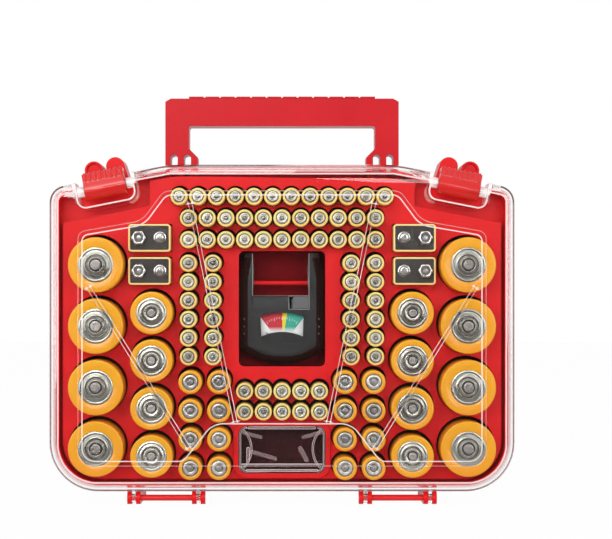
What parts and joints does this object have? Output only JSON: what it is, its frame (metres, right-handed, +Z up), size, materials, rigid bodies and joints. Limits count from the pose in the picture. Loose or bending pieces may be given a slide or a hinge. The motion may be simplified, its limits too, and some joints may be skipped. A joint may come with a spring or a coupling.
{
  "type": "battery storage case",
  "caption": "Upright red storage case for household cells, with a clear hinged lid, tilted corner latches, carrying handle and a cell tester in its own pocket.",
  "frame": {"origin": "on the ground under the middle of the case, at the centre of its bounding box's base", "axes": "+Z up, the clear lid faces -Y, +X to the viewer's right"},
  "size_m": [0.278, 0.0698, 0.2483],
  "materials": {
    "red_tray": "moulded red polypropylene with a soft gloss",
    "red_shell": "moulded red polypropylene with a fine satin grain",
    "red_handle": "moulded red polypropylene, glossy",
    "red_latch": "moulded red acetal, glossy",
    "red_pin": "red plastic rod",
    "clear_lid": "clear polystyrene, polished",
    "clear_insert": "clear polystyrene, polished",
    "clear_window": "clear plastic window",
    "black_case": "black ABS with a fine texture",
    "grey_slider": "dark grey plastic",
    "dial_print": "white card with red, yellow and green fields",
    "needle_black": "black needle",
    "contact_plate": "nickel-plated strip",
    "steel_pin": "bright steel pin",
    "zinc": "zinc-plated steel",
    "d_cell": "amber printed jacket with a pressed steel end",
    "c_cell": "amber printed jacket with a pressed steel end",
    "nine_volt": "gold-edged jacket with a dark grey top and two snap terminals",
    "aa_cell": "gold jacket with a steel end",
    "aaa_cell": "gold jacket with a steel end"
  },
  "bodies": {
    "case": {"tray": "red_tray", "back_shell": "red_shell", "case_screws": "zinc", "handle": "red_handle", "hinge_pin_left": "red_pin", "hinge_pin_right": "red_pin", "coin_tray": "clear_insert", "tester_front": "black_case", "tester_back": "black_case", "tester_window": "clear_window", "tester_dial": "dial_print", "tester_meter": "zinc", "tester_contacts": "contact_plate", "d_cells_left": "d_cell", "d_cells_right": "d_cell", "c_cells_left": "c_cell", "c_cells_right": "c_cell", "nine_volts_left": "nine_volt", "nine_volts_right": "nine_volt", "aa_cells_left": "aa_cell", "aa_cells_right": "aa_cell", "aaa_cells_top": "aaa_cell", "aaa_cells_left": "aaa_cell", "aaa_cells_right": "aaa_cell", "aaa_cells_bottom": "aaa_cell"},
    "lid": {"lid": "clear_lid", "latch_pin_left": "steel_pin", "latch_pin_right": "steel_pin"},
    "latch_left": {"latch_left": "red_latch"},
    "latch_right": {"latch_right": "red_latch"},
    "slider": {"tester_slider": "grey_slider"},
    "needle": {"tester_needle": "needle_black"}
  },
  "joints": [
    {"name": "lid_hinge", "type": "hinge", "parent": "case", "child": "lid", "pos_m": [0, -0.0116, 0.0039], "axis": [1, 0, 0], "range_deg": [0, 170]},
    {"name": "latch_left_pivot", "type": "hinge", "parent": "lid", "child": "latch_left", "pos_m": [-0.1058, -0.0257, 0.19152], "axis": [0.981, 0, 0.1942], "range_deg": [0, 95]},
    {"name": "latch_right_pivot", "type": "hinge", "parent": "lid", "child": "latch_right", "pos_m": [0.1058, -0.0257, 0.19152], "axis": [0.981, 0, -0.1942], "range_deg": [0, 95]},
    {"name": "slider_travel", "type": "slide", "parent": "case", "child": "slider", "axis": [-1, 0, 0], "range_m": [0, 0.0022]},
    {"name": "needle_swing", "type": "hinge", "parent": "case", "child": "needle", "pos_m": [0, -0.0113, 0.0961], "axis": [0, 1, 0], "range_deg": [0, 90]}
  ]
}
